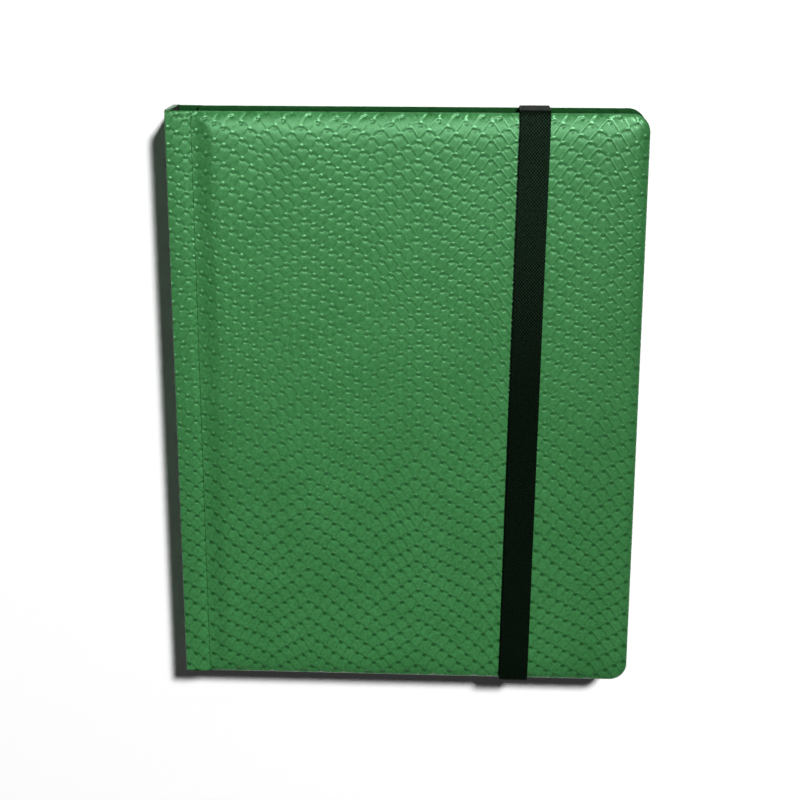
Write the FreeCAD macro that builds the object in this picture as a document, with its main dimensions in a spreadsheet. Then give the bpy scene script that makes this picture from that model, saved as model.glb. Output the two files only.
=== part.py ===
# Stamp album: padded covers, rigid spine, stock leaves on linen hinges and an elastic closing strap.
# It lies on its back cover: +Z up, +X towards the fore-edge, +Y towards the head, millimetres.
import FreeCAD, Part
import os
import re
import Sketcher

from FreeCAD import Placement, Rotation, Vector

doc = FreeCAD.newDocument("stamp_album")
sheet = doc.addObject("Spreadsheet::Sheet", "sizes")

# Driving dimensions
SIZES = (
    ("cover_width", 235), ("cover_height", 298), ("corner_radius", 9),
    ("skin_thick", 0.8), ("board_thick", 2.2), ("lining_thick", 0.6),
    ("crown_rise", 3.4), ("crown_run", 30), ("strip_drop", 2), ("joint_run", 6),
    ("joint_inset", 13.5), ("lip_width", 3.3), ("lay_gap", 0.05),
    ("spine_board_thick", 2), ("fold_radius", 0.7), ("fold_gap", 0.1), ("joint_lining_gap", 2.4),
    ("leaf_count", 8), ("leaf_pitch", 2.2), ("head_margin", 6), ("fore_margin", 6),
    ("binding_thick", 0.8), ("binding_inset", 4), ("band_radius", 0.8),
    ("stub_length", 5.5), ("stub_thick", 1.4),
    ("bead_radius", 0.45), ("bead_gap", 0.15), ("linen_thick", 0.3), ("linen_width", 3),
    ("card_thick", 0.7), ("film_thick", 0.2), ("film_rows", 8), ("film_height", 29), ("film_inset", 2),
    ("glassine_thick", 0.2), ("glassine_inset", 1),
    ("strap_width", 15), ("strap_thick", 1.1), ("strap_from_spine", 177.5), ("strap_lean", 0.9),
    ("strap_clear", 0.3), ("strap_rest", 0.15), ("strap_split", 60),
    ("tab_length", 20), ("tab_clear", 0.5), ("tab_seat", 0.05),
)
for row, (name, value) in enumerate(SIZES, start=1):
    sheet.set(f"A{row}", name)
    sheet.set(f"B{row}", str(value))
    sheet.setAlias(f"B{row}", name)

# Sizes that follow from the driving ones
DERIVED = (
    ("half_width", "cover_width / 2"),
    ("half_height", "cover_height / 2"),
    ("rim_level", "lining_thick + board_thick"),
    ("cover_thick", "rim_level + crown_rise"),
    ("strip_level", "cover_thick - strip_drop"),
    ("block_height", "leaf_count * leaf_pitch"),
    ("front_base", "cover_thick + block_height"),
    ("closed_thick", "front_base + cover_thick"),
    ("axis_inset", "skin_thick"),
    ("axis_level", "strip_drop + skin_thick"),
    ("fold_room", "fold_radius + fold_gap"),
    ("spine_bottom", "axis_level + fold_room"),
    ("spine_height", "closed_thick - 2 * spine_bottom"),
    ("spine_inner", "skin_thick + spine_board_thick + lining_thick"),
    ("stub_start", "spine_inner + binding_thick"),
    ("leaf_axis", "stub_start + stub_length + bead_gap + bead_radius"),
    ("card_start", "leaf_axis + linen_width"),
    ("card_length", "cover_width - fore_margin - card_start"),
    ("leaf_height", "cover_height - 2 * head_margin"),
    ("row_pitch", "leaf_height / film_rows"),
    ("binding_height", "leaf_height - 2 * binding_inset"),
    ("tab_depth", "strap_thick + 2 * tab_seat"),
)
first_derived_row = len(SIZES) + 1
for row, (name, formula) in enumerate(DERIVED, start=first_derived_row):
    sheet.set(f"A{row}", name)
    sheet.set(f"B{row}", "=" + formula)
    sheet.setAlias(f"B{row}", name)
doc.recompute()

# The crown's profile from the edge inwards: share of its run, share of its rise, and the outward normal
CROWN = (
    (0.00, 0.00, 1.00, 0.00),
    (0.04, 0.38, 0.80, 0.60),
    (0.13, 0.66, 0.45, 0.90),
    (0.40, 0.88, 0.10, 1.00),
    (1.00, 1.00, 0.00, 1.00),
)

nodes = []


def cell(name):
    return float(sheet.get(name))


def bound(formula):
    """The formula with each size's name turned into a reference to the sheet."""
    names = {name for name, _ in SIZES + DERIVED}

    def refer(word):
        return f"<<sizes>>.{word[0]}" if word[0] in names else word[0]

    return re.sub(r"[A-Za-z_]+", refer, formula)


def keep(node):
    nodes.append(node)
    return node


def place(thing, x="0", y="0", z="0", axis=Vector(0, 0, 1), angle="0"):
    thing.Placement = Placement(Vector(), Rotation(axis, 1))
    for letter, formula in zip("xyz", (x, y, z)):
        thing.setExpression(f"Placement.Base.{letter}", bound(formula))
    thing.setExpression("Placement.Rotation.Angle", bound(angle))
    return thing


def new_box(label, length, width, height, x, y, z):
    box = doc.addObject("Part::Box", label)
    box.setExpression("Length", bound(length))
    box.setExpression("Width", bound(width))
    box.setExpression("Height", bound(height))
    return place(box, x, y, z)


def new_rod(label, radius, length, x, y, z):
    """A round rod along Y that starts at y and runs towards the head."""
    rod = doc.addObject("Part::Cylinder", label)
    rod.setExpression("Radius", bound(radius))
    rod.setExpression("Height", bound(length))
    return place(rod, x, y, z, axis=Vector(-1, 0, 0), angle="90")


def new_body(label):
    return doc.addObject("PartDesign::Body", label)


def new_sketch(body, name, role, offset):
    sketch = body.newObject("Sketcher::SketchObject", name)
    plane = next(part for part in body.Origin.OriginFeatures if part.Role == role)
    sketch.AttachmentSupport = [(plane, "")]
    sketch.MapMode = "FlatFace"
    sketch.setExpression("AttachmentOffset.Base.z", bound(offset))
    return sketch


def measure(formula):
    """The value that a formula of the sheet has now, for a sketch's first shape."""
    sheet.set("D1", "=" + formula)
    doc.recompute([sheet])
    return float(sheet.get("D1"))


def rounded_plate(body, name, level, left, right, half, radius):
    """A plate's outline: square corners at the spine side, round ones at the fore-edge."""
    sketch = new_sketch(body, name, "XY_Plane", level)
    x0, x1, h, r = (measure(formula) for formula in (left, right, half, radius))
    quarter = FreeCAD.Units.Quantity("90 deg").getValueAs("rad").Value
    low = Part.Circle(Vector(x1 - r, r - h), Vector(0, 0, 1), r)
    high = Part.Circle(Vector(x1 - r, h - r), Vector(0, 0, 1), r)
    sketch.addGeometry([
        Part.LineSegment(Vector(x0, -h), Vector(x1 - r, -h)),
        Part.ArcOfCircle(low, -quarter, 0),
        Part.LineSegment(Vector(x1, r - h), Vector(x1, h - r)),
        Part.ArcOfCircle(high, 0, quarter),
        Part.LineSegment(Vector(x1 - r, h), Vector(x0, h)),
        Part.LineSegment(Vector(x0, h), Vector(x0, -h)),
    ])
    for first, second in ((0, 1), (1, 2), (2, 3), (3, 4)):
        sketch.addConstraint(Sketcher.Constraint("Tangent", first, 2, second, 1))
    sketch.addConstraint(Sketcher.Constraint("Coincident", 4, 2, 5, 1))
    sketch.addConstraint(Sketcher.Constraint("Coincident", 5, 2, 0, 1))
    sketch.addConstraint(Sketcher.Constraint("Horizontal", 0))
    sketch.addConstraint(Sketcher.Constraint("Vertical", 2))
    sketch.addConstraint(Sketcher.Constraint("Symmetric", 5, 1, 5, 2, -1))
    sketch.addConstraint(Sketcher.Constraint("Equal", 1, 3))
    for kind, places, formula, value in (
        ("Radius", (1,), radius, r),
        ("DistanceX", (-1, 1, 5, 1), left, x0),
        ("DistanceX", (-1, 1, 2, 1), right, x1),
        ("DistanceY", (-1, 1, 5, 1), half, h),
    ):
        index = sketch.addConstraint(Sketcher.Constraint(kind, *places, value))
        sketch.setExpression(f"Constraints[{index}]", bound(formula))
    return sketch


def outline(body, name, role, offset, points):
    """A closed outline of straight sides whose corners are formulas of the sheet."""
    sketch = new_sketch(body, name, role, offset)
    corners = [Vector(measure(u), measure(v)) for u, v in points]
    count = len(points)
    sketch.addGeometry([Part.LineSegment(corners[i], corners[(i + 1) % count]) for i in range(count)])
    for i in range(count):
        sketch.addConstraint(Sketcher.Constraint("Coincident", i, 2, (i + 1) % count, 1))
    for i, (u, v) in enumerate(points):
        for kind, formula, value in (("DistanceX", u, corners[i].x), ("DistanceY", v, corners[i].y)):
            index = sketch.addConstraint(Sketcher.Constraint(kind, -1, 1, i, 1, value))
            sketch.setExpression(f"Constraints[{index}]", bound(formula))
    return sketch


def pad(body, sketch, length):
    feature = body.newObject("PartDesign::Pad", sketch.Name + "_pad")
    feature.Profile = sketch
    feature.setExpression("Length", bound(length))
    return feature


def pocket(body, sketch, depth):
    """A cut from the sketch's plane towards the cover's inner face."""
    doc.recompute()
    before = body.Shape.Volume
    feature = body.newObject("PartDesign::Pocket", sketch.Name + "_pocket")
    feature.Profile = sketch
    feature.setExpression("Length", bound(depth))
    doc.recompute()
    if body.Shape.Volume >= before:
        raise RuntimeError(f"{feature.Name} cuts nothing")
    return feature


def crown_loft(body, name, kind, shell):
    """The padded crown, or its underside one shell inside it, through one outline for each step."""
    sections = []
    for step, (run, rise, _, _) in enumerate(CROWN):
        inset = f"{shell} + {run} * (crown_run - {shell})"
        sections.append(rounded_plate(
            body, f"{name}_{step}",
            level=f"rim_level + {rise} * (crown_rise - {shell})",
            left=f"joint_inset + {shell} + {run} * joint_run",
            right=f"cover_width - ({inset})",
            half=f"half_height - ({inset})",
            radius=f"corner_radius + {run} * corner_radius - {shell}",
        ))
    loft = body.newObject(f"PartDesign::{kind}Loft", f"{name}_loft")
    loft.Profile = sections[0]
    loft.Sections = sections[1:]
    loft.Ruled = True
    return loft


def place_cover(body, side):
    """A cover is drawn from the spine edge with its inner face at z = 0 and its outside up."""
    if side == "front":
        return place(body, x="-half_width", z="front_base")
    return place(body, x="-half_width", z="cover_thick", axis=Vector(1, 0, 0), angle="180")


def strap_slots(body, name):
    """Two slots at the head and tail edges that hold the strap's ends against the back board."""
    slope = "tan(strap_lean * 1 deg)"
    for end, sign in (("head", "-"), ("tail", "+")):
        middle = f"strap_from_spine {'+' if end == 'head' else '-'} half_height * {slope}"
        reach = "(half_height - tab_length - tab_clear)"
        beyond = "(half_height + tab_clear)"
        left = f"{middle} - strap_width / 2 - tab_clear"
        right = f"{middle} + strap_width / 2 + tab_clear"
        sketch = outline(body, f"{name}_{end}_slot", "XY_Plane", "lining_thick + tab_depth", [
            (left, f"0 {sign} {reach}"), (right, f"0 {sign} {reach}"),
            (right, f"0 {sign} {beyond}"), (left, f"0 {sign} {beyond}"),
        ])
        pocket(body, sketch, "tab_depth")


# Leatherette skin: flat joint strip, padded crown, wall round the board and a lip turned in over it
def cover_skin(side):
    body = new_body(f"{side}_skin")
    tray = rounded_plate(body, f"{side}_skin_tray", "0", "joint_inset", "cover_width",
                         "half_height", "corner_radius")
    pad(body, tray, "rim_level")
    crown_loft(body, f"{side}_skin_crown", "Additive", "0")
    strip = outline(body, f"{side}_skin_strip", "XY_Plane", "strip_level - skin_thick", [
        ("axis_inset + fold_room", "0 - half_height"), ("joint_inset + skin_thick", "0 - half_height"),
        ("joint_inset + skin_thick", "half_height"), ("axis_inset + fold_room", "half_height"),
    ])
    pad(body, strip, "skin_thick")
    board_room = rounded_plate(body, f"{side}_skin_room", "rim_level", "joint_inset",
                               "cover_width - skin_thick", "half_height - skin_thick",
                               "corner_radius - skin_thick")
    pocket(body, board_room, "board_thick")
    lining_room = rounded_plate(body, f"{side}_skin_window", "lining_thick", "joint_inset",
                                "cover_width - lip_width", "half_height - lip_width",
                                "corner_radius - lip_width")
    pocket(body, lining_room, "lining_thick")
    crown_loft(body, f"{side}_skin_hollow", "Subtractive", "skin_thick")
    if side == "back":
        strap_slots(body, "back_skin")
    return keep(place_cover(body, side))


# Foam pad between skin and board
def cover_foam(side):
    body = new_body(f"{side}_foam")
    crown_loft(body, f"{side}_foam_crown", "Additive", "(skin_thick + lay_gap)")
    return keep(place_cover(body, side))


# Grey board that stiffens the cover
def cover_board(side):
    body = new_body(f"{side}_board")
    plate = rounded_plate(body, f"{side}_board_plate", "lining_thick", "joint_inset + lay_gap",
                          "cover_width - skin_thick - lay_gap", "half_height - skin_thick - lay_gap",
                          "corner_radius - skin_thick - lay_gap")
    pad(body, plate, "board_thick")
    if side == "back":
        strap_slots(body, "back_board")
    return keep(place_cover(body, side))


# Lining cloth: over the board, down its spine edge and along the underside of the joint strip
def cover_lining(side):
    body = new_body(f"{side}_lining")
    strip_top = "strip_level - skin_thick"
    profile = outline(body, f"{side}_lining_profile", "XZ_Plane", "lip_width + lay_gap - half_height", [
        ("joint_inset - lining_thick", "0"), ("cover_width - lip_width - corner_radius", "0"),
        ("cover_width - lip_width - corner_radius", "lining_thick"), ("joint_inset", "lining_thick"),
        ("joint_inset", strip_top), ("axis_inset + joint_lining_gap", strip_top),
        ("axis_inset + joint_lining_gap", f"{strip_top} - lining_thick"),
        ("joint_inset - lining_thick", f"{strip_top} - lining_thick"),
    ])
    pad(body, profile, "cover_height - 2 * (lip_width + lay_gap)")
    corners = rounded_plate(body, f"{side}_lining_edge", "0", "joint_inset",
                            "cover_width - lip_width - lay_gap", "half_height - lip_width - lay_gap",
                            "corner_radius - lip_width - lay_gap")
    pad(body, corners, "lining_thick")
    return keep(place_cover(body, side))


for side in ("back", "front"):
    cover_skin(side)
    cover_foam(side)
    cover_board(side)
    cover_lining(side)


# Spine: leatherette outside, board and lining cloth, between two folds of leatherette
def spine_layer(label, thick, start):
    return keep(new_box(label, thick, "cover_height", "spine_height",
                        f"{start} - half_width", "0 - half_height", "spine_bottom"))


spine_layer("spine_skin", "skin_thick", "0")
spine_layer("spine_board", "spine_board_thick", "skin_thick")
spine_layer("spine_lining", "lining_thick", "skin_thick + spine_board_thick")
for side, level in (("back", "axis_level"), ("front", "closed_thick - axis_level")):
    keep(new_rod(f"{side}_joint_fold", "fold_radius", "cover_height",
                 "axis_inset - half_width", "0 - half_height", level))


# Binding: a glued linen back with a band at each end, and a card stub for every leaf
keep(new_box("binding_cloth", "binding_thick", "binding_height", "block_height",
             "spine_inner - half_width", "0 - binding_height / 2", "cover_thick"))
for label, y in (("head_band", "binding_height / 2 + band_radius"),
                 ("tail_band", "0 - binding_height / 2 - band_radius")):
    band = doc.addObject("Part::Cylinder", label)
    band.setExpression("Radius", bound("band_radius"))
    band.setExpression("Height", bound("block_height"))
    keep(place(band, "spine_inner + band_radius - half_width", y, "cover_thick"))

leaf_count = round(cell("leaf_count"))
leaf_levels = [f"cover_thick + leaf_pitch * {number + 0.5}" for number in range(leaf_count)]
stubs = [
    new_box(f"leaf_stub_{number}", "stub_length", "binding_height", "stub_thick",
            "stub_start - half_width", "0 - binding_height / 2", f"{level} - stub_thick / 2")
    for number, level in enumerate(leaf_levels, start=1)
]
stub_set = doc.addObject("Part::Compound", "leaf_stubs")
stub_set.Links = stubs
keep(stub_set)


# Stock leaf: linen hinge with a round bead on its axis, black card, film strips on both faces, glassine
def leaf(number, level):
    bead = new_rod(f"leaf_{number}_bead", "bead_radius", "binding_height",
                   "leaf_axis - half_width", "0 - binding_height / 2", level)
    linen = new_box(f"leaf_{number}_linen", "linen_width", "binding_height", "linen_thick",
                    "leaf_axis - half_width", "0 - binding_height / 2", f"{level} - linen_thick / 2")
    hinge = doc.addObject("Part::Fuse", f"leaf_{number}_hinge")
    hinge.Base = bead
    hinge.Tool = linen
    keep(hinge)

    keep(new_box(f"leaf_{number}_card", "card_length", "leaf_height", "card_thick",
                 "card_start - half_width", "0 - leaf_height / 2", f"{level} - card_thick / 2"))

    rows = round(cell("film_rows"))
    films = []
    for row in range(rows):
        row_start = f"row_pitch * {row + 0.5} - film_height / 2 - leaf_height / 2"
        for face, z in (("over", f"{level} + card_thick / 2"),
                        ("under", f"{level} - card_thick / 2 - film_thick")):
            films.append(new_box(
                f"leaf_{number}_film_{row}_{face}",
                "card_length - 2 * film_inset", "film_height", "film_thick",
                "card_start + film_inset - half_width", row_start, z))
    strips = doc.addObject("Part::Compound", f"leaf_{number}_strips")
    strips.Links = films
    keep(strips)

    keep(new_box(f"leaf_{number}_glassine", "card_length - film_inset - glassine_inset",
                 "leaf_height - 2 * glassine_inset", "glassine_thick",
                 "card_start + film_inset - half_width", "glassine_inset - leaf_height / 2",
                 f"{level} + card_thick / 2 + film_thick"))


for number, level in enumerate(leaf_levels, start=1):
    leaf(number, level)


# Elastic strap: tabs in the back cover, a wrap up each end and three lengths across the front cover
def strap_piece(label, points):
    body = new_body(label)
    pad(body, outline(body, f"{label}_profile", "YZ_Plane", "0 - strap_width / 2", points), "strap_width")
    return keep(place(body, x="strap_from_spine - half_width", angle="0 - strap_lean"))


def mirrored(points):
    return [(f"0 - ({y})", z) for y, z in points]


under_crown = "closed_thick + strap_rest"
middle_run = [("0 - strap_split", under_crown), ("strap_split", under_crown),
              ("strap_split", f"{under_crown} + strap_thick"),
              ("0 - strap_split", f"{under_crown} + strap_thick")]
strap_piece("strap_middle_run", middle_run)

inside, outside = [], []
for run, rise, out_y, out_z in CROWN:
    y = f"half_height - {run} * crown_run + {out_y} * strap_clear"
    z = f"front_base + rim_level + {rise} * crown_rise + {out_z} * strap_clear"
    if run == 1:
        z = under_crown
    inside.append((y, z))
    outside.append((f"{y} + {out_y} * strap_thick", f"{z} + {out_z} * strap_thick"))
end_run = [("strap_split", under_crown)] + inside[::-1] + outside
end_run.append(("strap_split", f"{under_crown} + strap_thick"))
strap_piece("strap_head_run", end_run)
strap_piece("strap_tail_run", mirrored(end_run))

tab_top = "cover_thick - lining_thick - tab_seat"
tab_bottom = f"{tab_top} - strap_thick"
wrap_top = "front_base + rim_level"
wrap = [("half_height - tab_length", tab_bottom), ("half_height + strap_clear + strap_thick", tab_bottom),
        ("half_height + strap_clear + strap_thick", wrap_top), ("half_height + strap_clear", wrap_top),
        ("half_height + strap_clear", tab_top), ("half_height - tab_length", tab_top)]
strap_piece("strap_head_wrap", wrap)
strap_piece("strap_tail_wrap", mirrored(wrap))

doc.recompute()
for thing in doc.Objects:
    if "Invalid" in thing.State or "Error" in thing.State:
        raise RuntimeError(f"{thing.Label} failed: {thing.State}")
for node in nodes:
    if node.Shape.isNull() or not node.Shape.isValid():
        raise RuntimeError(f"{node.Label} has no valid shape")

os.makedirs("parts", exist_ok=True)
for node in nodes:
    node.Shape.exportStep(f"parts/{node.Label}.step")
    print(node.Label, round(node.Shape.Volume, 1), len(node.Shape.Solids))
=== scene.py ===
# Stamp album: a padded leatherette binder of black stock leaves, closed by an elastic strap.
# It lies on its back cover with the spine on the left. Metres, +X to the fore-edge, +Y to the head.
import math

import bmesh
import bpy
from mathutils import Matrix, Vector


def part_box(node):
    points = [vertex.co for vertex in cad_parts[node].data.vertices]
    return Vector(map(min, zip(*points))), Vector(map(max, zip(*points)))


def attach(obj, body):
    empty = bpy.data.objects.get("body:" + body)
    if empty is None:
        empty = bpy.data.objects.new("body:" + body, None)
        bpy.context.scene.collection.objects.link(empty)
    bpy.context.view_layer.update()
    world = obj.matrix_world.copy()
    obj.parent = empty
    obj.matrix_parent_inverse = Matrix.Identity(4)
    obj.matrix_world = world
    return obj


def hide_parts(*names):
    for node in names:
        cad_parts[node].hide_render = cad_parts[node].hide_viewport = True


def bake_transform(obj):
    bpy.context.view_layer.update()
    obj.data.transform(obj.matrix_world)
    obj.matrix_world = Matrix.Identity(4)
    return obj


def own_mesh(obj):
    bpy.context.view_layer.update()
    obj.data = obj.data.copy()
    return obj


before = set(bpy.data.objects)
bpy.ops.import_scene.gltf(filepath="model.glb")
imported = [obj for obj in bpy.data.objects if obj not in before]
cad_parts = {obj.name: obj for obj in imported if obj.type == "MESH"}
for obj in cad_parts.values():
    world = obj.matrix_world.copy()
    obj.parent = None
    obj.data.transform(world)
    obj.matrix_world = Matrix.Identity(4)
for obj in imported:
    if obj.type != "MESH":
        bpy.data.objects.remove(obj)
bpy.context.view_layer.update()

# Leatherette of the two covers
# A green coated cloth, embossed with a net of scales, is wrapped over foam and board and turned in
# inside as a lip. Each cover is one padded piece that bulges between its rolled edges.
MM = 0.001
SKIN = 0.8 * MM
LIP = 3.3 * MM
LINING = 0.6 * MM
CORNER_RADIUS = 9 * MM
CROWN_RUN = 30 * MM
CROWN_POWER = 4
JOINT_RUN = 13 * MM
JOINT_DROP = 2 * MM
ROLL = 3 * MM
TUCK = 0.4 * MM
SOFT_MEET = 0.4 * MM

front_low, front_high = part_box("front_skin")
back_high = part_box("back_skin")[1]
board_low, board_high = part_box("front_board")
HALF_HEIGHT = front_high.y
FORE_EDGE = front_high.x
JOINT_EDGE = board_low.x - TUCK
COVER_THICK = front_high.z - front_low.z
RIM_LEVEL = board_high.z - front_low.z
CROWN_RISE = COVER_THICK - RIM_LEVEL
STRIP_LEVEL = COVER_THICK - JOINT_DROP

# Scale net: rows zigzag across the cover, each leg a whole number of columns wide
COLUMN = 4.34 * MM
ROW = 8.93 * MM
ROW_SLOPE = 0.69
DOWN_LEG = 8 * COLUMN
UP_LEG = 5 * COLUMN
NET_START = -106.6 * MM
COLUMN_PARTS = 5
ROW_PARTS = 8
COLUMN_GAP = math.hypot(COLUMN, ROW_SLOPE * COLUMN)
ROW_GAP = COLUMN * ROW / COLUMN_GAP

# Embossing: a knob and a pit where scales meet, pressed lines with a ridge beside them, puffed scales
KNOB_HEIGHT = 0.24 * MM
KNOB_SIZE = 0.8 * MM
PIT_DEPTH = 0.2 * MM
PIT_SIZE = 0.8 * MM
PIT_SHIFT = 1.1 * MM / ROW
PIT_STRETCH = 0.8
LINE_DEPTH = 0.08 * MM
LINE_SIZE = 0.7 * MM
RIDGE_HEIGHT = 0.07 * MM
RIDGE_SIZE = 0.65 * MM
RIDGE_SHIFT = 1.05 * MM
SCALE_PUFF = 0.1 * MM
PUFF_POWER = 4

# Slow waves that the roller leaves in the net: amplitude, wavelengths along x and y, phase
DRIFT_X = [(0.8 * MM, 97 * MM, 131 * MM, 0.0), (0.4 * MM, 211 * MM, 53 * MM, 2.0)]
DRIFT_Y = [(1.5 * MM, 83 * MM, -149 * MM, 1.1), (0.7 * MM, 43 * MM, 113 * MM, 0.4)]
DRIFT_ROUNDS = 3
DRIFT_ROOM = 3 * MM


def drift(waves, x, y):
    """How far the waves shift the net at x, y."""
    return sum(size * math.sin(2 * math.pi * (x / along + y / up) + phase)
               for size, along, up, phase in waves)


def zigzag(x):
    """Distance run along the net's legs at x: up a long leg, then back along a short one."""
    legs, rest = divmod(x - NET_START, DOWN_LEG + UP_LEG)
    start = legs * (DOWN_LEG - UP_LEG)
    return start + (rest if rest < DOWN_LEG else 2 * DOWN_LEG - rest)


def net_place(x, y):
    """The place of a point in the net, in rows and columns; scales meet at whole numbers."""
    even_x, even_y = x, y
    for _ in range(DRIFT_ROUNDS):
        even_x, even_y = x - drift(DRIFT_X, even_x, even_y), y - drift(DRIFT_Y, even_x, even_y)
    run = zigzag(even_x)
    row = (even_y + ROW_SLOPE * run) / ROW
    return row, run / COLUMN - row


def bell(distance, size):
    return math.exp(-(distance / size) ** 2)


def from_corner(row, column, stretch=1.0):
    """Distance to the nearest meeting of scales; a stretch below 1 draws it out along the row."""
    return math.hypot((row - round(row)) * ROW_GAP, (column - round(column)) * COLUMN_GAP * stretch)


def puffed(distance, gap):
    """Share of a scale's puff at a distance from one of its lines, which lie a gap apart."""
    return 1 - (1 - 2 * abs(distance) / gap) ** PUFF_POWER


def scale_relief(row, column):
    """Embossing below the knobs' tops: knob, pit on its tail side, lines with a ridge, and puff."""
    across = (row - round(row)) * ROW_GAP
    along = (round(column) - column) * COLUMN_GAP
    knob = bell(from_corner(row, column), KNOB_SIZE)
    pit = bell(from_corner(row + PIT_SHIFT, column - PIT_SHIFT, PIT_STRETCH), PIT_SIZE)
    line = max(bell(across, LINE_SIZE), bell(along, LINE_SIZE))
    ridge = max(bell(across - RIDGE_SHIFT, RIDGE_SIZE), bell(along - RIDGE_SHIFT, RIDGE_SIZE))
    puff = puffed(across, ROW_GAP) * puffed(along, COLUMN_GAP)
    rise = KNOB_HEIGHT * (knob - 1) + RIDGE_HEIGHT * ridge + SCALE_PUFF * puff
    return rise - LINE_DEPTH * line - PIT_DEPTH * pit


# Colour sockets of a mix node: factor, first and second colour, and the result
MIX_SOCKETS = (0, 6, 7)
MIX_RESULT = 2


def node_of(tree, kind, **settings):
    """A new shader node with its settings."""
    node = tree.nodes.new("ShaderNode" + kind)
    for name, value in settings.items():
        setattr(node, name, value)
    return node


def plug(tree, socket, value):
    """Sets a socket to a number or a colour, or links an output to it."""
    if isinstance(value, (int, float)):
        socket.default_value = value
    elif isinstance(value, tuple):
        socket.default_value = (*value, 1)
    else:
        tree.links.new(value, socket)


def math_node(tree, operation, *values):
    node = node_of(tree, "Math", operation=operation)
    for socket, value in zip(node.inputs, values):
        plug(tree, socket, value)
    return node.outputs[0]


def times(tree, first, second):
    return math_node(tree, "MULTIPLY", first, second)


def split(tree, vector):
    """The three parts of a vector."""
    node = node_of(tree, "SeparateXYZ")
    tree.links.new(vector, node.inputs[0])
    return node.outputs[:]


def fade(tree, value, start, end, low=0.0, high=1.0):
    """A smooth step of value, from low at start to high at end."""
    node = node_of(tree, "MapRange", interpolation_type="SMOOTHSTEP")
    for socket, setting in zip(node.inputs, (value, start, end, low, high)):
        plug(tree, socket, setting)
    return node.outputs[0]


def between(tree, share, low, high):
    """Low where share is 0, high where it is 1."""
    return fade(tree, share, 0.0, 1.0, low, high)


def mix_colour(tree, factor, first, second):
    node = node_of(tree, "Mix", data_type="RGBA")
    for number, value in zip(MIX_SOCKETS, (factor, first, second)):
        plug(tree, node.inputs[number], value)
    return node.outputs[MIX_RESULT]


def noise(tree, place, scale, detail, rough=0.55):
    node = node_of(tree, "TexNoise")
    node.inputs["Scale"].default_value = scale
    node.inputs["Detail"].default_value = detail
    node.inputs["Roughness"].default_value = rough
    tree.links.new(place, node.inputs["Vector"])
    return node.outputs["Fac"]


def new_finish(name, roughness, specular=0.5):
    """An empty material with one shader, and the object's own coordinates."""
    material = bpy.data.materials.new(name)
    material.use_nodes = True
    tree = material.node_tree
    shader = tree.nodes["Principled BSDF"]
    shader.inputs["Roughness"].default_value = roughness
    shader.inputs["Specular IOR Level"].default_value = specular
    place = node_of(tree, "TexCoord").outputs["Object"]
    return material, tree, shader, place


def set_bump(tree, shader, height, distance, strength=1.0):
    bump = node_of(tree, "Bump")
    bump.inputs["Strength"].default_value = strength
    bump.inputs["Distance"].default_value = distance
    tree.links.new(height, bump.inputs["Height"])
    tree.links.new(bump.outputs["Normal"], shader.inputs["Normal"])


GREEN = (0.043, 0.196, 0.057)
GREEN_LIGHT = (0.051, 0.219, 0.067)
# Dark speckle, and the painted shade in the pressed lines and pits
GREEN_SPECKLE_AND_SHADE = (0.010, 0.078, 0.016)
# Painted highlight on the knobs
GREEN_KNOB_HIGHLIGHT = (0.100, 0.350, 0.130)
# Painted shade on walls, lips and the rolled fore-edge, and darker towards the fore-edge
GREEN_EDGE = (0.005, 0.034, 0.008)
GREEN_SHEEN = (0.45, 1.0, 0.55)

# Millimetres from the middle of each mark where it ends and where it is full
KNOB_FADE = (1.3, 0.2)
PIT_FADE = (1.4, 0.4)
ROW_LINE_FADE = (0.9, 0.1)
COLUMN_LINE_FADE = (0.8, 0.1)
RIDGE_FADE = (0.7, 0.1)
COLUMN_LINE_SHARE = 0.7

# Ridges grow from the spine to the fore-edge; the painted highlight on the knobs fades towards the
# fore-edge and the tail, and painted shade in lines and pits deepens towards the tail
LINED_FROM_TO = (-60 * MM, 60 * MM)
LIT_TOWARD_HEAD_FROM_TO = (-90 * MM, 60 * MM)
RIDGE_SHARES = (0.35, 1.1)
KNOB_HIGHLIGHT_SHARES = (0.6, 0.25)
LINE_SHADE_SHARES = (0.42, 0.2)
PIT_SHADE_SHARES = (0.92, 0.65)

# Clouded tone, dark speckle and fine grain: scale and detail of the noise, and how it shows
CLOUD = (38, 4)
CLOUD_FADE = (0.3, 0.75)
SPECKLE = (750, 3)
SPECKLE_FADE = (0.35, 0.7, 0.0, 0.42)
GRAIN = (1900, 2)

# Gloss: knobs' tops and ridges shine, and the walls are dull
LEATHER_ROUGH = 0.42
ROUGH_FADE = (0.9, 1.6, 0.3, 0.28)
GRAIN_ROUGH = 0.12
SHINE_FADE = (0.9, 1.6, 1.0, 0.45)
RIDGE_SHINE = 0.75
WALL_SHINE_FADE = (0.4, 0.8, 1.0, 0.0)
PIT_BUMP = 0.8
LINE_BUMP = 0.25
RIDGE_BUMP = 0.35
GRAIN_BUMP = 0.2
LEATHER_BUMP = 0.2 * MM
LEATHER_BUMP_STRENGTH = 0.8


def net_reach(tree, row, column, stretch=1.0):
    """Distances in millimetres to the nearest row line, column line and corner of the net."""
    across = times(tree, math_node(tree, "PINGPONG", row, 0.5), ROW_GAP / MM)
    along = times(tree, math_node(tree, "PINGPONG", column, 0.5), COLUMN_GAP * stretch / MM)
    squares = [times(tree, side, side) for side in (across, along)]
    return across, along, math_node(tree, "SQRT", math_node(tree, "ADD", *squares))


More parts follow.
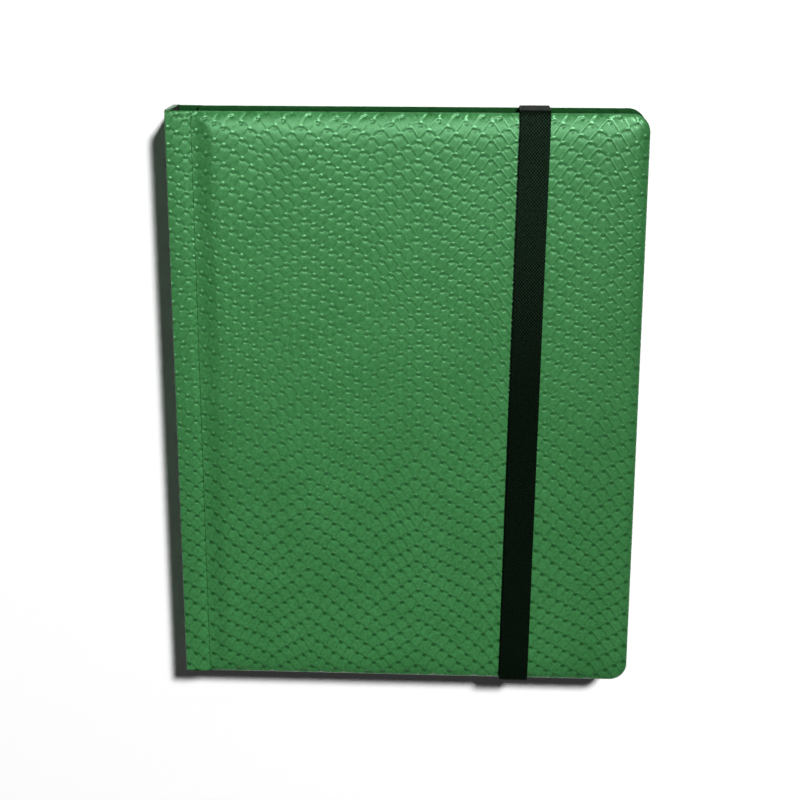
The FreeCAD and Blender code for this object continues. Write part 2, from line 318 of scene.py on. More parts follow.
def leatherette_finish():
    material, tree, shader, place = new_finish("green_leatherette_finish", LEATHER_ROUGH)
    plug(tree, shader.inputs["Specular Tint"], GREEN_SHEEN)
    net = node_of(tree, "Attribute", attribute_name="scale_net").outputs["Vector"]
    row, column, edge = split(tree, net)
    x, y, _ = split(tree, place)
    lined = fade(tree, x, *LINED_FROM_TO)
    lit_toward_head = fade(tree, y, *LIT_TOWARD_HEAD_FROM_TO)

    # Marks of the embossing, each from 0 to 1
    across, along, corner = net_reach(tree, row, column)
    pit_row = math_node(tree, "ADD", row, PIT_SHIFT)
    pit_column = math_node(tree, "SUBTRACT", column, PIT_SHIFT)
    pit = fade(tree, net_reach(tree, pit_row, pit_column, PIT_STRETCH)[2], *PIT_FADE)
    knob = fade(tree, corner, *KNOB_FADE)
    row_line = fade(tree, across, *ROW_LINE_FADE)
    column_line = times(tree, fade(tree, along, *COLUMN_LINE_FADE), COLUMN_LINE_SHARE)
    line = math_node(tree, "MAXIMUM", row_line, column_line)
    ridge_column = math_node(tree, "ADD", column, RIDGE_SHIFT / COLUMN_GAP)
    ridge = fade(tree, net_reach(tree, row, ridge_column)[1], *RIDGE_FADE)
    ridge = times(tree, ridge, between(tree, lined, *RIDGE_SHARES))

    # Colour
    tone = mix_colour(tree, fade(tree, noise(tree, place, *CLOUD), *CLOUD_FADE), GREEN, GREEN_LIGHT)
    tone = mix_colour(tree, fade(tree, noise(tree, place, *SPECKLE), *SPECKLE_FADE), tone, GREEN_SPECKLE_AND_SHADE)
    # Painted shade in the pressed lines and pits, deeper towards the tail
    tone = mix_colour(tree, times(tree, line, between(tree, lit_toward_head, *LINE_SHADE_SHARES)), tone, GREEN_SPECKLE_AND_SHADE)
    tone = mix_colour(tree, times(tree, pit, between(tree, lit_toward_head, *PIT_SHADE_SHARES)), tone, GREEN_SPECKLE_AND_SHADE)
    # Painted highlight on the knobs, strongest towards the head and the spine
    painted_highlight = times(tree, times(tree, knob, between(tree, lined, *KNOB_HIGHLIGHT_SHARES)), lit_toward_head)
    tone = mix_colour(tree, painted_highlight, tone, GREEN_KNOB_HIGHLIGHT)
    # Painted shade on walls, lips and the rolled fore-edge, and darker towards the fore-edge
    tone = mix_colour(tree, edge, tone, GREEN_EDGE)
    tree.links.new(tone, shader.inputs["Base Color"])

    # Gloss
    grain = noise(tree, place, *GRAIN)
    gloss = math_node(tree, "ADD", fade(tree, corner, *ROUGH_FADE), times(tree, grain, GRAIN_ROUGH))
    tree.links.new(gloss, shader.inputs["Roughness"])
    shine = math_node(tree, "MAXIMUM", fade(tree, corner, *SHINE_FADE), times(tree, ridge, RIDGE_SHINE))
    shine = times(tree, shine, fade(tree, edge, *WALL_SHINE_FADE))
    tree.links.new(shine, shader.inputs["Specular IOR Level"])

    # Fine relief, over that of the mesh
    relief = math_node(tree, "SUBTRACT", knob, times(tree, pit, PIT_BUMP))
    relief = math_node(tree, "SUBTRACT", relief, times(tree, line, LINE_BUMP))
    relief = math_node(tree, "ADD", relief, times(tree, ridge, RIDGE_BUMP))
    relief = math_node(tree, "ADD", relief, times(tree, grain, GRAIN_BUMP))
    set_bump(tree, shader, relief, LEATHER_BUMP, LEATHER_BUMP_STRENGTH)
    return material


leatherette = leatherette_finish()


def shown(name, mesh, material):
    """Puts a finished mesh in the scene with its material."""
    for face in mesh.polygons:
        face.use_smooth = True
    mesh.materials.append(material)
    thing = bpy.data.objects.new(name, mesh)
    bpy.context.scene.collection.objects.link(thing)
    return thing


def store_places(mesh, name, places):
    """Keeps three numbers for each vertex, which the finish reads by name."""
    layer = mesh.attributes.new(name, "FLOAT_VECTOR", "POINT")
    layer.data.foreach_set("vector", [part for place in places for part in place])


def smooth(share):
    """A step from 0 to 1 that is level at both ends."""
    share = min(max(share, 0), 1)
    return share ** 2 * (3 - 2 * share)


def crown_share(inset):
    """Share of the crown's fall at a distance from the edge: all at the edge, none past the run."""
    return (1 - min(max(inset / CROWN_RUN, 0), 1)) ** CROWN_POWER


def pad_height(x, y):
    """Height of the padded face over the cover's inner face, without the embossing."""
    fore = crown_share(FORE_EDGE - x)
    ends = crown_share(HALF_HEIGHT - abs(y))
    corner = min(math.hypot(fore, ends), 1)
    outer = RIM_LEVEL + CROWN_RISE * math.sqrt(1 - corner)
    inner = STRIP_LEVEL + JOINT_DROP * smooth((x - JOINT_EDGE) / JOINT_RUN)
    overlap = max(SOFT_MEET - abs(outer - inner), 0) / SOFT_MEET
    return min(outer, inner) - overlap ** 2 * SOFT_MEET / 4


def net_sheet(left, right, half):
    """A flat sheet whose vertices follow the net's rows, a little larger than left..right by half."""
    step = COLUMN / COLUMN_PARTS
    first = math.floor((left - DRIFT_ROOM - NET_START) / step)
    last = math.ceil((right + DRIFT_ROOM - NET_START) / step)
    row_step = ROW / ROW_PARTS
    bm = bmesh.new()
    columns = []
    for i in range(first, last + 1):
        x = NET_START + i * step
        drop = ROW_SLOPE * zigzag(x)
        low = math.floor((drop - half - DRIFT_ROOM) / row_step)
        high = math.ceil((drop + half + DRIFT_ROOM) / row_step)
        column = {}
        for n in range(low, high + 1):
            y = n * row_step - drop
            column[n] = bm.verts.new((x + drift(DRIFT_X, x, y), y + drift(DRIFT_Y, x, y), 0))
        columns.append(column)
    for near, far in zip(columns, columns[1:]):
        for n in near:
            if n + 1 in near and n in far and n + 1 in far:
                bm.faces.new((near[n], far[n], far[n + 1], near[n + 1]))
    return bm


SLACK = 1e-6
CORNER_CUTS = 12


def trim(bm, place, outward, near=None):
    """Cuts the sheet along a line and drops what lies beyond it; near picks the faces to cut."""
    faces = [f for f in bm.faces if near is None or near(f.calc_center_median())]
    edges = list(dict.fromkeys(e for f in faces for e in f.edges))
    verts = list(dict.fromkeys(v for f in faces for v in f.verts))
    bmesh.ops.bisect_plane(bm, geom=verts + edges + faces, dist=SLACK / 10, plane_co=place,
                           plane_no=outward, clear_outer=True)


def trim_rounded(bm, left, right, half, radius):
    """Cuts the sheet to a rectangle with two round corners at the fore-edge."""
    trim(bm, (left, 0, 0), (-1, 0, 0))
    trim(bm, (right, 0, 0), (1, 0, 0))
    trim(bm, (0, half, 0), (0, 1, 0))
    trim(bm, (0, -half, 0), (0, -1, 0))
    for sign in (-1, 1):
        centre = Vector((right - radius, sign * (half - radius), 0))
        for cut in range(CORNER_CUTS):
            turn = math.pi / 2 * (cut + 0.5) / CORNER_CUTS
            outward = Vector((math.cos(turn), sign * math.sin(turn), 0))
            trim(bm, centre + outward * radius, outward,
                 lambda c: c.x > centre.x - ROLL and sign * (c.y - centre.y) > -ROLL)
    loose = [v for v in bm.verts if not v.link_faces]
    bmesh.ops.delete(bm, geom=loose, context="VERTS")


def rim_loop(bm):
    """The sheet's boundary vertices in order, anticlockwise seen from above."""
    edges = [e for e in bm.edges if e.is_boundary]
    start = edges[0].verts[0]
    loop = [start]
    edge = edges[0]
    vert = edge.other_vert(start)
    while vert is not start:
        loop.append(vert)
        edge = next(e for e in vert.link_edges if e.is_boundary and e is not edge)
        vert = edge.other_vert(vert)
    area = sum(a.co.x * b.co.y - b.co.x * a.co.y for a, b in zip(loop, loop[1:] + loop[:1]))
    return loop if area > 0 else loop[::-1]


def outward_at(point, left, right, half, radius):
    """The outline's outward direction at a boundary point, and whether it is on the joint side."""
    if point.x < left + SLACK:
        corner = abs(point.y) > half - SLACK
        return Vector((-1, math.copysign(corner, point.y), 0)), not corner
    if point.x > right - radius and abs(point.y) > half - radius:
        centre = Vector((right - radius, math.copysign(half - radius, point.y), 0))
        return (Vector((point.x, point.y, 0)) - centre).normalized(), False
    if point.x > right - SLACK:
        return Vector((1, 0, 0)), False
    return Vector((0, math.copysign(1, point.y), 0)), False


# Painted shade darkens the rolled fore-edge, which turns from the light, and the face grows darker towards
# the fore-edge: amounts, and widths from the fore-edge
EDGE_DARKS = [(0.24, 6 * MM), (0.17, 60 * MM)]
# Painted shade on the walls and turned-in lips
WALL_SHADE = 0.85


def edge_dark(inset):
    """How far the tone is darkened at a distance from the fore-edge."""
    return sum(dark * smooth(1 - inset / width) for dark, width in EDGE_DARKS)


# The rolled edge as distances in from the edge, then the wall and lip as distances and heights
ROLL_RINGS = [2.3 * MM, 1.6 * MM, 1.0 * MM, 0.5 * MM, 0.15 * MM]
WALL_RINGS = [
    (0.0, RIM_LEVEL), (0.0, 0.6 * RIM_LEVEL), (0.0, 0.25 * RIM_LEVEL), (0.2 * MM, 0.1 * RIM_LEVEL),
    (0.6 * MM, 0.0), (LIP - 0.2 * MM, 0.0), (LIP, 0.15 * MM), (LIP, LINING),
    (SKIN, LINING), (SKIN, RIM_LEVEL),
]

# Between the joint's ends the edge is tucked in under the strip beside it instead
JOINT_END = LIP + 2 * MM
TUCK_STEP = 0.1 * MM
JOINT_RINGS = [(max(i - 1, i / 2) * TUCK_STEP, STRIP_LEVEL - (i + 1) * TUCK_STEP) for i in range(8)]
JOINT_RINGS += [(7 * TUCK_STEP, STRIP_LEVEL - 10 * TUCK_STEP), (SKIN, RIM_LEVEL)]


def roll_place(point, outward, joint, inset):
    """A point of the rolled edge, out from a rim point, and its place in the net."""
    place = point + outward * (ROLL - inset)
    row, column = net_place(place.x, place.y)
    if joint:
        height = pad_height(place.x, place.y)
    else:
        share = math.sqrt((1 - crown_share(inset)) / (1 - crown_share(ROLL)))
        height = RIM_LEVEL + (point.z - RIM_LEVEL) * share
    height += scale_relief(row, column)
    return (place.x, place.y, height), (row, column, edge_dark(FORE_EDGE - place.x))


def wall_place(point, outward, joint, step):
    """A point of the wall and lip, or of the edge tucked in at the joint, and its place in the net."""
    tucked = joint and abs(point.y) < HALF_HEIGHT - JOINT_END
    inset, height = (JOINT_RINGS if tucked else WALL_RINGS)[step]
    place = point + outward * (ROLL - inset)
    return (place.x, place.y, height), (*net_place(place.x, place.y), WALL_SHADE * (not tucked))


def padded_cover(name, side):
    """One cover's leatherette over its foam: embossed face, rolled edge, wall and turned-in lip."""
    left, right, half = JOINT_EDGE + ROLL, FORE_EDGE - ROLL, HALF_HEIGHT - ROLL
    radius = CORNER_RADIUS - ROLL
    bm = net_sheet(left, right, half)
    trim_rounded(bm, left, right, half, radius)
    net = bm.verts.layers.float_vector.new("net")
    for vert in bm.verts:
        vert[net] = (*net_place(vert.co.x, vert.co.y), edge_dark(FORE_EDGE - vert.co.x))
        vert.co.z = pad_height(vert.co.x, vert.co.y)
    loop = rim_loop(bm)
    rim = [(v.co.copy(), *outward_at(v.co, left, right, half, radius)) for v in loop]
    for vert in bm.verts:
        vert.co.z += scale_relief(*vert[net][:2])
    rings = [loop]
    steps = [(roll_place, inset) for inset in ROLL_RINGS]
    steps += [(wall_place, step) for step in range(len(WALL_RINGS))]
    for place_at, step in steps:
        ring = []
        for point, outward, joint in rim:
            place, in_net = place_at(point, outward, joint, step)
            vert = bm.verts.new(place)
            vert[net] = in_net
            ring.append(vert)
        rings.append(ring)
    for inner, outer in zip(rings, rings[1:]):
        for i in range(len(loop)):
            bm.faces.new((inner[i - 1], outer[i - 1], outer[i], inner[i]))
    bm.faces.new(rings[-1][::-1])
    mirror = -1 if side == "back" else 1
    level = back_high.z if side == "back" else front_low.z
    for vert in bm.verts:
        vert.co.z = level + mirror * vert.co.z
    bmesh.ops.recalc_face_normals(bm, faces=bm.faces)
    places = [tuple(v[net]) for v in bm.verts]
    bm.verts.layers.float_vector.remove(net)
    mesh = bpy.data.meshes.new(name)
    bm.to_mesh(mesh)
    bm.free()
    store_places(mesh, "scale_net", places)
    cover = shown(name, mesh, leatherette)
    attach(cover, f"{side}_cover")
    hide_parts(f"{side}_skin", f"{side}_foam")


for side in ("back", "front"):
    padded_cover(f"{side}_cover_leatherette", side)

# Boards and linings of the covers
# Pressed grey board stiffens each cover, and a fine black cloth is pasted over its inner face.
# Both are the solids of the frame with their own finish.
BOARD_GREY = (0.30, 0.29, 0.27)
BOARD_FLECK = (0.20, 0.19, 0.175)
CLOTH_BLACK = (0.010, 0.011, 0.011)
CLOTH_WORN = (0.024, 0.025, 0.025)
CLOTH_ROUGH = 0.8
CLOTH_SHINE = 0.08
CLOTH_FADE = (0.2, 0.75)
CLOTH_BUMP = 0.08 * MM
SLUB = (600, 3)
LINING_THREAD = 0.35 * MM


def fibre_finish(name, tones, grain, spread, bump, roughness, specular=0.5, opacity=1.0):
    """Two tones of one fine noise, which also roughens the surface.

    grain is the noise's scale and detail, and spread is where it turns from one tone to the other.
    """
    material, tree, shader, place = new_finish(name, roughness, specular)
    fibre = noise(tree, place, *grain)
    tree.links.new(mix_colour(tree, fade(tree, fibre, *spread), *tones), shader.inputs["Base Color"])
    shader.inputs["Alpha"].default_value = opacity
    set_bump(tree, shader, fibre, bump)
    return material


def weave(tree, along, across, along_pitch, across_pitch):
    """Threads over and under each other along two directions: height from 0 to 1."""
    waves = [math_node(tree, "SINE", times(tree, run, math.pi / pitch))
             for run, pitch in ((along, along_pitch), (across, across_pitch))]
    return math_node(tree, "MULTIPLY_ADD", times(tree, *waves), 0.5, 0.5)


def cloth_finish(name, tones, pitch, axes="XY"):
    """A plain weave with slubs, whose threads run along two of the axes."""
    material, tree, shader, place = new_finish(name, CLOTH_ROUGH, CLOTH_SHINE)
    parts = split(tree, place)
    along, across = [parts["XYZ".index(axis)] for axis in axes]
    thread = weave(tree, along, across, pitch, pitch)
    share = times(tree, math_node(tree, "ADD", thread, noise(tree, place, *SLUB)), 0.5)
    tree.links.new(mix_colour(tree, fade(tree, share, *CLOTH_FADE), *tones), shader.inputs["Base Color"])
    set_bump(tree, shader, share, CLOTH_BUMP)
    return material


def dress(material, *names):
    """Gives nodes of the frame a finish."""
    for name in names:
        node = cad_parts[name]
        node.data.materials.clear()
        node.data.materials.append(material)


grey_board = fibre_finish("grey_board_finish", (BOARD_GREY, BOARD_FLECK), grain=(900, 5),
                          spread=(0.4, 0.65), bump=0.05 * MM, roughness=0.85, specular=0.3)
cover_cloth = cloth_finish("black_lining_finish", (CLOTH_BLACK, CLOTH_WORN), LINING_THREAD)
spine_cloth = cloth_finish("spine_lining_finish", (CLOTH_BLACK, CLOTH_WORN), LINING_THREAD, "ZY")
dress(grey_board, "back_board", "front_board", "spine_board")
dress(cover_cloth, "back_lining", "front_lining")
dress(spine_cloth, "spine_lining")

# Foam under the leatherette
# A sheet of open-cell foam, which fills the padded piece and never shows.
FOAM = (0.72, 0.70, 0.64)
FOAM_CELL = (0.55, 0.53, 0.47)
open_foam = fibre_finish("foam_finish", (FOAM, FOAM_CELL), grain=(1200, 2),
                         spread=(0.4, 0.6), bump=0.2 * MM, roughness=0.95, specular=0.2)
dress(open_foam, "back_foam", "front_foam")

# Leatherette of the spine
# The same sheet goes on over the spine board, so the net of scales runs round the back.
# It is turned in over the board's two ends.
spine_low, spine_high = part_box("spine_skin")
spine_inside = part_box("spine_lining")[1].x
SPINE_STEP = COLUMN / COLUMN_PARTS
END_SKIN = 0.35 * MM
END_DIP = 0.25 * MM


def closed_mesh(name, verts, faces):
    """A mesh whose faces all look outwards."""
    mesh = bpy.data.meshes.new(name)
    mesh.from_pydata(verts, [], faces)
    bm = bmesh.new()
    bm.from_mesh(mesh)
    bmesh.ops.recalc_face_normals(bm, faces=bm.faces)
    bm.to_mesh(mesh)
    bm.free()
    return mesh


def tube_faces(rows):
    """Four-sided faces between rows of vertex numbers that each go round a closed section."""
    return [(near[i - 1], near[i], far[i], far[i - 1])
            for near, far in zip(rows, rows[1:]) for i in range(len(near))]


def swept_leather(name, outer, inner, half, net_from, turn_in=0.0):
    """A strip of leatherette along Y. outer and inner are its profile's faces as (x, z, nx, nz) points.

    turn_in is how far the sheet is turned in over what lies under its two ends.
    """
    reach = [0.0]
    for a, b in zip(outer, outer[1:]):
        reach.append(reach[-1] + math.hypot(b[0] - a[0], b[1] - a[1]))
    count = round(2 * half / SPINE_STEP)
    rows, places, verts = [], [], []
    stations = [(-half + 2 * half * j / count, 0) for j in range(count + 1)]
    if turn_in:
        ends = [(half, turn_in), (half + END_SKIN, turn_in)]
        stations = [(-y, turn) for y, turn in reversed(ends)] + stations + ends
    for y, turn in stations:
        start = len(verts)
        end = min(max(half - abs(y), 0), SKIN) / SKIN
        for (x, z, nx, nz), run in zip(outer, reach):
            row, column = net_place(net_from - run, y)
            rise = scale_relief(row, column) * end - (1 - end) ** 2 * END_DIP
            verts.append((x + nx * rise, y, z + nz * rise))
            places.append((row, column, 0))
        for x, z, _, _ in reversed(inner):
            verts.append((x + turn, y, z))
            # The turned-in side gets the walls' painted shade
            places.append((*net_place(net_from, y), WALL_SHADE))
        rows.append(list(range(start, len(verts))))
    mesh = closed_mesh(name, verts, tube_faces(rows) + [rows[0][::-1], rows[-1]])
    store_places(mesh, "scale_net", places)
    piece = shown(name, mesh, leatherette)
    return piece


def straight(start, end, normal, parts):
    """Evenly spaced profile points from start to end, which share one outward normal."""
    (x, z), (end_x, end_z) = start, end
    return [(x + (end_x - x) * i / parts, z + (end_z - z) * i / parts, *normal) for i in range(parts + 1)]


spine_parts = round((spine_high.z - spine_low.z) / SPINE_STEP)
spine_outer = straight((spine_low.x, spine_high.z), (spine_low.x, spine_low.z), (-1, 0), spine_parts)
spine_inner = straight((spine_high.x, spine_high.z), (spine_high.x, spine_low.z), (-1, 0), 2)
spine_leather = swept_leather("spine_leatherette", spine_outer, spine_inner, HALF_HEIGHT, spine_low.x,
                              spine_inside - spine_high.x)
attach(spine_leather, "spine")
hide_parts("spine_skin")

# Joints between spine and covers
# The sheet folds round the spine's edge and runs flat to a line pressed in beside the padded part.
# It hinges there.
fold_low, fold_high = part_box("front_joint_fold")
FOLD_X = (fold_low.x + fold_high.x) / 2
FOLD_PARTS = 8
GROOVE_DEPTH = 0.5 * MM
GROOVE_SIZE = 1.1 * MM
GROOVE_SHIFT = 0.6 * MM
STRIP_PUFF = 0.25 * MM
STRIP_STEP = 0.7 * MM
STRIP_OVERLAP = 0.3 * MM
STRIP_LEAD = 4 * MM
UNDER_GAP = 0.02 * MM


def joint_leather(name, side):
    """The strip from the spine's edge to the pressed line, as heights over the cover's inner face."""
    mirror = -1 if side == "back" else 1
    base = back_high.z if side == "back" else front_low.z
    axis = STRIP_LEVEL - SKIN
    spine_end = mirror * ((spine_low.z if side == "back" else spine_high.z) - base)
    outer = straight((spine_low.x, spine_end), (spine_low.x, axis), (-1, 0), 2)[:-1]
    for i in range(FOLD_PARTS + 1):
        turn = math.pi / 2 * i / FOLD_PARTS
        nx, nz = -math.cos(turn), math.sin(turn)
        outer.append((FOLD_X + nx * SKIN, axis + nz * SKIN, nx, nz))
    end = JOINT_EDGE + TUCK + STRIP_OVERLAP
    parts = round((end - FOLD_X) / STRIP_STEP)
    for x, z, nx, nz in straight((FOLD_X, STRIP_LEVEL), (end, STRIP_LEVEL), (0, 1), parts)[1:]:
        share = (x - FOLD_X) / (JOINT_EDGE - FOLD_X)
        puff = STRIP_PUFF * math.sin(math.pi * min(max(share, 0), 1))
        dip = GROOVE_DEPTH * bell(x - JOINT_EDGE + GROOVE_SHIFT, GROOVE_SIZE)
        outer.append((x, z + puff - dip, nx, nz))
    under = axis + UNDER_GAP
    inner = [(spine_high.x, spine_end, -1, 0), (spine_high.x, axis, -1, 0), (fold_high.x, under, 0, 1),
             (JOINT_EDGE - STRIP_LEAD, under, 0, 1), (end, under, 0, 1)]

    def set_in_place(points):
        return [(x, base + mirror * z, nx, mirror * nz) for x, z, nx, nz in points]

    strip = swept_leather(name, set_in_place(outer), set_in_place(inner), HALF_HEIGHT, spine_low.x)
    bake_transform(strip)
    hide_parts(f"{side}_joint_fold")


for side in ("back", "front"):
    joint_leather(f"{side}_joint_leatherette", side)

# Binding of the leaves
# A strip of glued black linen holds the stubs that the leaves hang on, with a woven band at each end.
LINEN_BLACK = (0.012, 0.012, 0.013)
LINEN_LIGHT = (0.040, 0.040, 0.042)
BAND_GREEN = (0.030, 0.150, 0.045)
BAND_LIGHT = (0.075, 0.260, 0.095)
LINEN_THREAD = 0.45 * MM
BAND_THREAD = 0.6 * MM
binding_linen = cloth_finish("binding_linen_finish", (LINEN_BLACK, LINEN_LIGHT), LINEN_THREAD, "ZY")
band_cloth = cloth_finish("band_cloth_finish", (BAND_GREEN, BAND_LIGHT), BAND_THREAD, "ZX")
dress(binding_linen, "binding_cloth")
dress(band_cloth, "head_band", "tail_band")

# Stock leaves
# Black card with clear film strips on both faces, a glassine sheet over it and a linen hinge.
# Each leaf hangs on its card stub in the binding.
CARD_BLACK = (0.010, 0.010, 0.011)
CARD_FIBRE = (0.022, 0.022, 0.023)
FILM = (0.90, 0.92, 0.94)
FILM_SHADE = 0.96
FILM_ROUGH = 0.08
FILM_OPACITY = 0.16
FILM_RIPPLE = (60, 2)
FILM_BUMP = 0.06 * MM
GLASSINE = (0.86, 0.85, 0.80)
GLASSINE_FIBRE = (0.74, 0.73, 0.67)
GLASSINE_OPACITY = 0.3
LEAF_COUNT = 8


def film_finish():
    material, tree, shader, place = new_finish("clear_film_finish", FILM_ROUGH)
    ripple = noise(tree, place, *FILM_RIPPLE)
    shade = tuple(FILM_SHADE * part for part in FILM)
    tree.links.new(mix_colour(tree, ripple, FILM, shade), shader.inputs["Base Color"])
    shader.inputs["Alpha"].default_value = FILM_OPACITY
    set_bump(tree, shader, ripple, FILM_BUMP)
    return material


card = fibre_finish("black_card_finish", (CARD_BLACK, CARD_FIBRE), grain=(1400, 4),
                    spread=(0.45, 0.7), bump=0.04 * MM, roughness=0.75, specular=0.35)
film = film_finish()
glassine = fibre_finish("glassine_finish", (GLASSINE, GLASSINE_FIBRE), grain=(300, 6, 0.7),
                        spread=(0.4, 0.7), bump=0.05 * MM, roughness=0.32, opacity=GLASSINE_OPACITY)
linen = cloth_finish("linen_finish", (LINEN_BLACK, LINEN_LIGHT), LINEN_THREAD)
dress(card, "leaf_stubs")
for number in range(1, LEAF_COUNT + 1):
    dress(linen, f"leaf_{number}_hinge")
    dress(card, f"leaf_{number}_card")
    dress(film, f"leaf_{number}_strips")
    dress(glassine, f"leaf_{number}_glassine")

# Elastic strap
# A flat black woven elastic: its ends are tucked into the back cover, it goes up round the head and tail
# edges and is stretched over the front cover. Its ribs run lengthwise.
STRAP_WIDTH = 15 * MM
STRAP_THICK = 1.1 * MM
STRAP_LEAN = math.tan(math.radians(0.9))
STRAP_REST = 0.15 * MM
STRAP_RIBS = 9
RIB_HEIGHT = 0.05 * MM
STRAP_STEP = 1.2 * MM
ACROSS_PARTS = 36
EDGE_SHARE = 0.2
EDGE_ROUND = 1.4 * MM
EDGE_GAP = 0.3 * MM
TURN_START = 2.2 * MM
TURN_PARTS = 6
TURN_POWER = 0.8

middle_low, middle_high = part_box("strap_middle_run")
wrap_low, wrap_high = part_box("strap_head_wrap")
STRAP_X = (middle_low.x + middle_high.x) / 2
WRAP_TOP = wrap_high.z
WRAP_FACE = HALF_HEIGHT + EDGE_GAP + STRAP_THICK / 2
TAB_LEVEL = wrap_low.z + STRAP_THICK / 2
TAB_REACH = wrap_low.y

# Painted sheen lightens the threads on the head half of the front cover; pitches are in millimetres
ELASTIC_BLACK = (0.0003, 0.0008, 0.0004)
ELASTIC_THREAD = (0.0055, 0.0125, 0.0065)
ELASTIC_PAINTED_SHEEN = (0.016, 0.036, 0.020)
PAINTED_SHEEN_FROM_TO = (-10 * MM, 130 * MM)
PAINTED_SHEEN_ENDS = (HALF_HEIGHT + 1 * MM, HALF_HEIGHT - 2 * MM)
ELASTIC_ROUGH = 0.45
ELASTIC_SHINE = 0.004
ELASTIC_FADE = (0.3, 0.75)
ELASTIC_BUMP = 0.15 * MM
FUZZ = (1000, 3)
RIB_PITCH = 0.75
PICK_PITCH = 0.9


def elastic_finish():
    material, tree, shader, place = new_finish("black_elastic_finish", ELASTIC_ROUGH, ELASTIC_SHINE)
    weft = node_of(tree, "Attribute", attribute_name="strap_weave").outputs["Vector"]
    along, across, _ = split(tree, weft)
    knit = weave(tree, along, across, PICK_PITCH, RIB_PITCH)
    share = times(tree, math_node(tree, "ADD", knit, noise(tree, place, *FUZZ)), 0.5)
    y = split(tree, place)[1]
    # Painted sheen on the threads of the head half of the run over the front cover
    painted_highlight = times(tree, fade(tree, y, *PAINTED_SHEEN_FROM_TO), fade(tree, y, *PAINTED_SHEEN_ENDS))
    thread = mix_colour(tree, painted_highlight, ELASTIC_THREAD, ELASTIC_PAINTED_SHEEN)
    tone = mix_colour(tree, fade(tree, share, *ELASTIC_FADE), ELASTIC_BLACK, thread)
    tree.links.new(tone, shader.inputs["Base Color"])
    set_bump(tree, shader, share, ELASTIC_BUMP)
    return material


elastic = elastic_finish()


def strap_section():
    """The strap's cross-section as (across, up) points: ribbed faces and rounded edges."""
    points = []
    half, thick = STRAP_WIDTH / 2, STRAP_THICK / 2
    for face in (1, -1):
        for i in range(ACROSS_PARTS + 1):
            share = face * (2 * i / ACROSS_PARTS - 1)
            across = share * half
            rim = max(abs(across) - (half - thick), 0) / thick
            rise = thick * math.sqrt(max(1 - rim ** 2, EDGE_SHARE ** 2))
            rib = RIB_HEIGHT * math.cos(share * math.pi * STRAP_RIBS) * (rim == 0)
            points.append((across, face * (rise + rib)))
    return points


def strap_length(name, path):
    """Sweeps the section along path, a list of (y, z) points of the strap's middle layer."""
    section = strap_section()
    verts, weft, rows, run = [], [], [], 0.0
    for i, (y, z) in enumerate(path):
        before, after = path[max(i - 1, 0)], path[min(i + 1, len(path) - 1)]
        way = Vector((after[0] - before[0], after[1] - before[1])).normalized()
        if i:
            run += math.hypot(y - path[i - 1][0], z - path[i - 1][1])
        start = len(verts)
        for across, up in section:
            verts.append((STRAP_X + STRAP_LEAN * y + across, y - way.y * up, z + way.x * up))
            weft.append((run / MM, across / MM, 0))
        rows.append(range(start, len(verts)))
    faces = tube_faces(rows)
    for row, turn in ((rows[0], -1), (rows[-1], 1)):
        start = len(verts)
        verts += [verts[i] for i in row]
        weft += [weft[i] for i in row]
        faces.append(tuple(range(start, len(verts)))[::turn])
    mesh = closed_mesh(name, verts, faces)
    store_places(mesh, "strap_weave", weft)
    strap = shown(name, mesh, elastic)
    return strap


def over_the_crown(y):
    return front_low.z + pad_height(STRAP_X, y) + STRAP_REST + STRAP_THICK / 2


def edge_turn(centre, radius, start, end, parts):
    """Points of an arc round centre, from one angle to another."""
    turns = [start + (end - start) * i / parts for i in range(parts + 1)]
    return [(centre[0] + radius * math.cos(turn), centre[1] + radius * math.sin(turn)) for turn in turns]


# Across the front cover, from its middle to the edge, where it turns down
level_end = HALF_HEIGHT - TURN_START
steps = round(level_end / STRAP_STEP)
half_run = [(level_end * i / steps, over_the_crown(level_end * i / steps)) for i in range(steps + 1)]
drop = half_run[-1][1] - WRAP_TOP
for i in range(1, TURN_PARTS + 1):
    turn = math.pi / 2 * i / TURN_PARTS
    left_to_drop = max(math.cos(turn), 0) ** TURN_POWER if i < TURN_PARTS else 0
    half_run.append((level_end + (WRAP_FACE - level_end) * math.sin(turn), WRAP_TOP + drop * left_to_drop))

# Down the edge and into the slot in the back cover
turn_centre = (WRAP_FACE - EDGE_ROUND, TAB_LEVEL + EDGE_ROUND)
wrap_steps = round((WRAP_TOP - turn_centre[1]) / STRAP_STEP)
wrap = [(WRAP_FACE, WRAP_TOP + (turn_centre[1] - WRAP_TOP) * i / wrap_steps) for i in range(wrap_steps)]
wrap += edge_turn(turn_centre, EDGE_ROUND, 0, -math.pi / 2, TURN_PARTS)
wrap += [(turn_centre[0] + (TAB_REACH - turn_centre[0]) * i / TURN_PARTS, TAB_LEVEL)
         for i in range(1, TURN_PARTS + 1)]

# The turn round each edge goes with the back cover, and the run over the front cover stays in place
for end, sign in (("head", 1), ("tail", -1)):
    run = strap_length(f"strap_{end}_length", [(sign * y, z) for y, z in half_run][::sign])
    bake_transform(run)
    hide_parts(f"strap_{end}_run")
    if end == "head":
        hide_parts("strap_middle_run")
    tuck = strap_length(f"strap_{end}_turn", [(sign * y, z) for y, z in wrap][::sign])
    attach(tuck, "back_cover")
    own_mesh(tuck)
    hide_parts(f"strap_{end}_wrap")

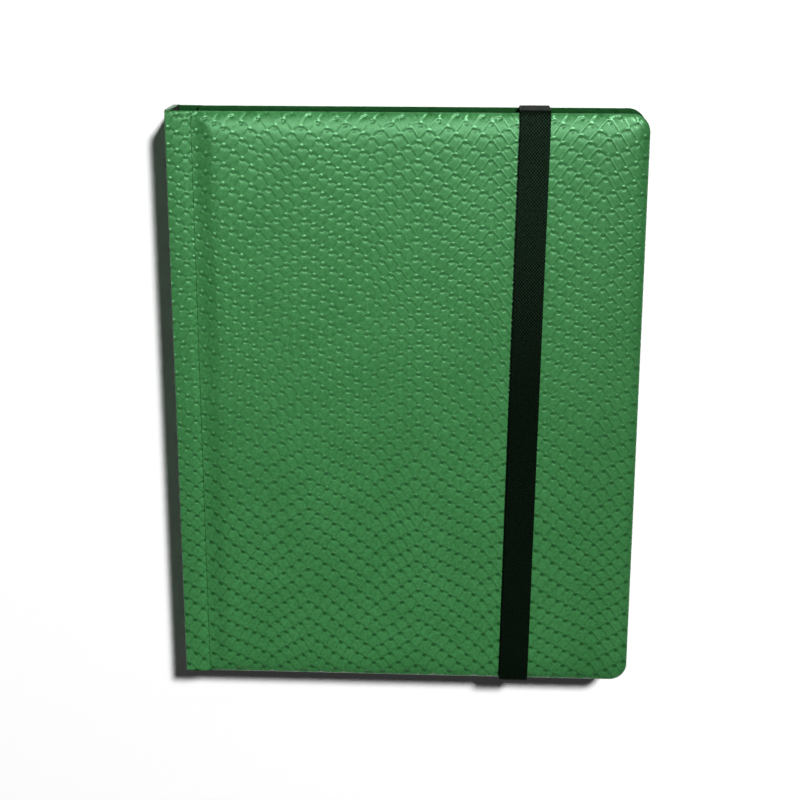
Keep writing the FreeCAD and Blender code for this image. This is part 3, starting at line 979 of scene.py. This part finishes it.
# Table, light and camera
# A white table under soft studio light from beyond the head, seen from above the head half.
TABLE_SIZE = 6.0
TABLE_WHITE = (1.0, 1.0, 1.0)
TABLE_ROUGH = 0.9
WORLD_LIGHT = 0.04
KEY_PLACE = (3.3, 4.8, 6.9)
KEY_SIZE = (1.0, 1.0)
KEY_POWER = 1060
SHEEN_PLACE = (0.0, 0.32, 0.97)
SHEEN_BELOW = (0.0, 0.32, 0.0)
SHEEN_SIZE = (0.9, 0.12)
SHEEN_POWER = 11
EYE_PLACE = (0.0366, 0.2410, 0.8114)
EYE_TURN = (-16.77, 2.88, 0.05)
EYE_LENS = 72.76
EYE_SENSOR = 36
EYE_RANGE = (0.01, 20)

bpy.ops.mesh.primitive_plane_add(size=TABLE_SIZE)
table = bpy.context.object
table.name = "table"
white, white_tree, white_shader, _ = new_finish("white_table_finish", TABLE_ROUGH, 0.0)
plug(white_tree, white_shader.inputs["Base Color"], TABLE_WHITE)
table.data.materials.append(white)


def softbox(name, place, size, power, aim=(0, 0, 0)):
    lamp = bpy.data.lights.new(name, "AREA")
    lamp.shape = "RECTANGLE"
    lamp.size, lamp.size_y = size
    lamp.energy = power
    thing = bpy.data.objects.new(name, lamp)
    bpy.context.scene.collection.objects.link(thing)
    thing.location = place
    thing.rotation_euler = (Vector(aim) - Vector(place)).to_track_quat("-Z", "Y").to_euler()
    return thing


softbox("key_light", KEY_PLACE, KEY_SIZE, KEY_POWER)
sheen = softbox("sheen_light", SHEEN_PLACE, SHEEN_SIZE, SHEEN_POWER, SHEEN_BELOW)
sheen.visible_diffuse = False

# The world is white to the camera and lights the object only a little
world = bpy.data.worlds.new("studio")
bpy.context.scene.world = world
world.use_nodes = True
sky = world.node_tree
backdrop = sky.nodes["Background"]
plug(sky, backdrop.inputs["Color"], (1, 1, 1))
to_camera = node_of(sky, "LightPath").outputs["Is Camera Ray"]
sky.links.new(between(sky, to_camera, WORLD_LIGHT, 1.0), backdrop.inputs["Strength"])

eye = bpy.data.cameras.new("eye")
eye.sensor_width = EYE_SENSOR
eye.lens = EYE_LENS
eye.clip_start, eye.clip_end = EYE_RANGE
camera = bpy.data.objects.new("eye", eye)
bpy.context.scene.collection.objects.link(camera)
camera.location = EYE_PLACE
camera.rotation_euler = [math.radians(turn) for turn in EYE_TURN]
bpy.context.scene.camera = camera
bpy.context.scene.view_settings.view_transform = "Standard"
